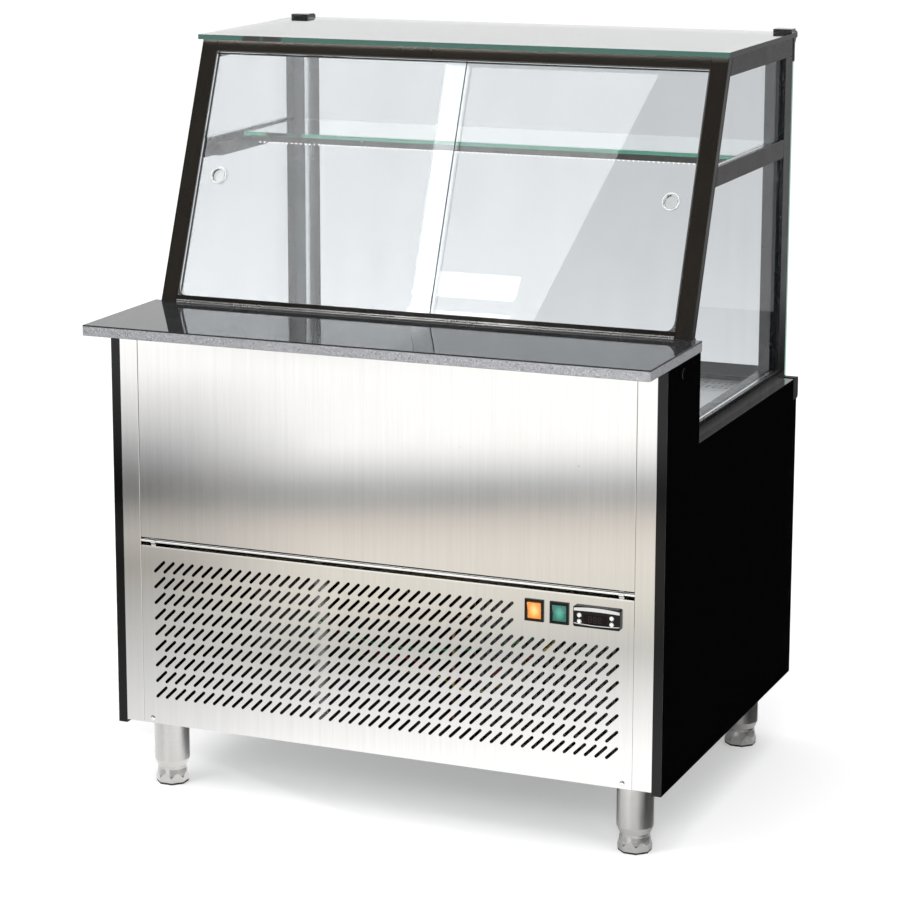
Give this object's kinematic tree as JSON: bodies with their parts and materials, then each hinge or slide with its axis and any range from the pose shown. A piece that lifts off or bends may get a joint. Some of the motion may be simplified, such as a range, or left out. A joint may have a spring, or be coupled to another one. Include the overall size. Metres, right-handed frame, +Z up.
{
  "type": "refrigerated deli case",
  "caption": "Refrigerated serve-over case: stone worktop, sloped sliding rear doors, flip-up customer glass, glass shelf, cold well, slotted service panel and steel feet.",
  "frame": {"origin": "on the floor, under the middle of the case's overall length and depth", "axes": "+X along the case to the operator's right, +Y from the operator to the customer, +Z up"},
  "size_m": [0.92, 0.785, 1.2],
  "materials": {
    "brushed_steel": "vertically brushed stainless steel",
    "grille_steel": "brushed stainless steel with punched slots",
    "polished_steel": "polished stainless steel",
    "deck_steel": "satin stainless steel",
    "zinc_steel": "galvanised sheet",
    "black_panel": "high-gloss black laminate",
    "black_rubber": "satin black bumper",
    "granite": "polished black granite with fine grey grains",
    "bronze_frame": "dark bronze anodised aluminium",
    "grey_frame": "dark grey anodised aluminium",
    "track_steel": "bright anodised aluminium",
    "clear_glass": "clear float glass",
    "shelf_glass": "clear float glass with a green edge",
    "clear_plastic": "clear moulded plastic",
    "lamp_bar": "dark aluminium lamp profile",
    "black_plastic": "satin black plastic",
    "amber_plastic": "translucent amber plastic",
    "green_plastic": "translucent green plastic",
    "white_plastic": "white plastic",
    "foam": "rigid foam",
    "coil_fins": "aluminium fins on copper tube",
    "black_enamel": "black enamel",
    "copper": "drawn copper tube",
    "grey_plastic": "grey plastic"
  },
  "bodies": {
    "cabinet": {"base_pan": "zinc_steel", "leg_tubes": "brushed_steel", "side_panel_left": "black_panel", "side_panel_right": "black_panel", "front_posts": "brushed_steel", "upper_front_panel": "brushed_steel", "hinge_rod": "polished_steel", "customer_panel": "black_panel", "bumper_rail": "black_rubber", "well_rim": "black_plastic", "well_tub": "deck_steel", "tub_insulation": "foam", "air_grille": "deck_steel", "evaporator_coil": "coil_fins", "evaporator_fan_frame": "grey_plastic", "compressor": "black_enamel", "condenser_coil": "coil_fins", "condenser_fan_shroud": "black_enamel", "condenser_fan_motor": "black_enamel", "receiver_and_drier": "black_enamel", "copper_pipes": "copper", "terminal_box": "grey_plastic", "cable_gland": "black_plastic", "drain_pipe": "white_plastic", "worktop": "granite", "sloped_posts": "bronze_frame", "side_frame_left": "grey_frame", "side_frame_right": "grey_frame", "side_glasses": "clear_glass", "rear_frame": "polished_steel", "top_track": "bronze_frame", "bottom_track": "track_steel", "top_glass": "clear_glass", "shelf_glass": "shelf_glass", "shelf_light_bar": "lamp_bar", "hinge_brackets": "black_enamel"},
    "door_left": {"door_left_glass": "clear_glass", "door_left_pull": "clear_plastic"},
    "door_right": {"door_right_glass": "clear_glass", "door_right_pull": "clear_plastic"},
    "customer_screen": {"customer_glass": "clear_glass", "glass_clamps": "black_enamel"},
    "service_panel": {"grille_panel": "grille_steel", "panel_screws": "polished_steel", "switch_bezels": "black_plastic", "controller_case": "black_plastic"},
    "rocker_amber": {"rocker_amber": "amber_plastic"},
    "rocker_green": {"rocker_green": "green_plastic"},
    "button_up": {"button_up": "white_plastic"},
    "button_down": {"button_down": "white_plastic"},
    "button_set": {"button_set": "white_plastic"},
    "button_light": {"button_light": "white_plastic"},
    "evaporator_fan": {"evaporator_fan": "black_plastic"},
    "condenser_fan": {"condenser_fan": "grey_plastic"},
    "foot_front_left": {"foot_front_left": "brushed_steel"},
    "foot_front_right": {"foot_front_right": "brushed_steel"},
    "foot_rear_left": {"foot_rear_left": "brushed_steel"},
    "foot_rear_right": {"foot_rear_right": "brushed_steel"},
    "deck_tray_left": {"deck_tray_left": "deck_steel"},
    "deck_tray_right": {"deck_tray_right": "deck_steel"}
  },
  "joints": [
    {"name": "door_left_slide", "type": "slide", "parent": "cabinet", "child": "door_left", "axis": [1, 0, 0], "range_m": [0, 0.39]},
    {"name": "door_right_slide", "type": "slide", "parent": "cabinet", "child": "door_right", "axis": [-1, 0, 0], "range_m": [0, 0.39]},
    {"name": "customer_screen_hinge", "type": "hinge", "parent": "cabinet", "child": "customer_screen", "pos_m": [0, 0.372, 1.191], "axis": [1, 0, 0], "range_deg": [0, 85]},
    {"name": "service_panel_hinge", "type": "hinge", "parent": "cabinet", "child": "service_panel", "pos_m": [0, -0.3005, 0.4195], "axis": [-1, 0, 0], "range_deg": [0, 80]},
    {"name": "rocker_amber_tilt", "type": "hinge", "parent": "service_panel", "child": "rocker_amber", "pos_m": [0.2545, -0.3015, 0.38], "axis": [1, 0, 0], "range_deg": [-12, 0]},
    {"name": "rocker_green_tilt", "type": "hinge", "parent": "service_panel", "child": "rocker_green", "pos_m": [0.2945, -0.3015, 0.38], "axis": [1, 0, 0], "range_deg": [-12, 0]},
    {"name": "button_up_press", "type": "slide", "parent": "service_panel", "child": "button_up", "axis": [0, 1, 0], "range_m": [0, 0.0008], "stiffness_N_per_m": 400, "springref_m": -0.0005},
    {"name": "button_down_press", "type": "slide", "parent": "service_panel", "child": "button_down", "axis": [0, 1, 0], "range_m": [0, 0.0008], "stiffness_N_per_m": 400, "springref_m": -0.0005},
    {"name": "button_set_press", "type": "slide", "parent": "service_panel", "child": "button_set", "axis": [0, 1, 0], "range_m": [0, 0.0008], "stiffness_N_per_m": 400, "springref_m": -0.0005},
    {"name": "button_light_press", "type": "slide", "parent": "service_panel", "child": "button_light", "axis": [0, 1, 0], "range_m": [0, 0.0008], "stiffness_N_per_m": 400, "springref_m": -0.0005},
    {"name": "evaporator_fan_spin", "type": "hinge", "parent": "cabinet", "child": "evaporator_fan", "pos_m": [0, -0.0105, 0.54485], "axis": [0, 1, 0], "continuous": true},
    {"name": "condenser_fan_spin", "type": "hinge", "parent": "cabinet", "child": "condenser_fan", "pos_m": [0.255, -0.1655, 0.2605], "axis": [0, 1, 0], "continuous": true},
    {"name": "foot_front_left_turn", "type": "hinge", "parent": "cabinet", "child": "foot_front_left", "pos_m": [-0.3965, -0.2405, 0], "axis": [0, 0, 1], "continuous": true},
    {"name": "foot_front_right_turn", "type": "hinge", "parent": "cabinet", "child": "foot_front_right", "pos_m": [0.3965, -0.2405, 0], "axis": [0, 0, 1], "continuous": true},
    {"name": "foot_rear_left_turn", "type": "hinge", "parent": "cabinet", "child": "foot_rear_left", "pos_m": [-0.3965, 0.3115, 0], "axis": [0, 0, 1], "continuous": true},
    {"name": "foot_rear_right_turn", "type": "hinge", "parent": "cabinet", "child": "foot_rear_right", "pos_m": [0.3965, 0.3115, 0], "axis": [0, 0, 1], "continuous": true},
    {"name": "deck_tray_left_lift", "type": "slide", "parent": "cabinet", "child": "deck_tray_left", "axis": [0, 0, 1], "range_m": [0, 0.12]},
    {"name": "deck_tray_right_lift", "type": "slide", "parent": "cabinet", "child": "deck_tray_right", "axis": [0, 0, 1], "range_m": [0, 0.12]}
  ]
}
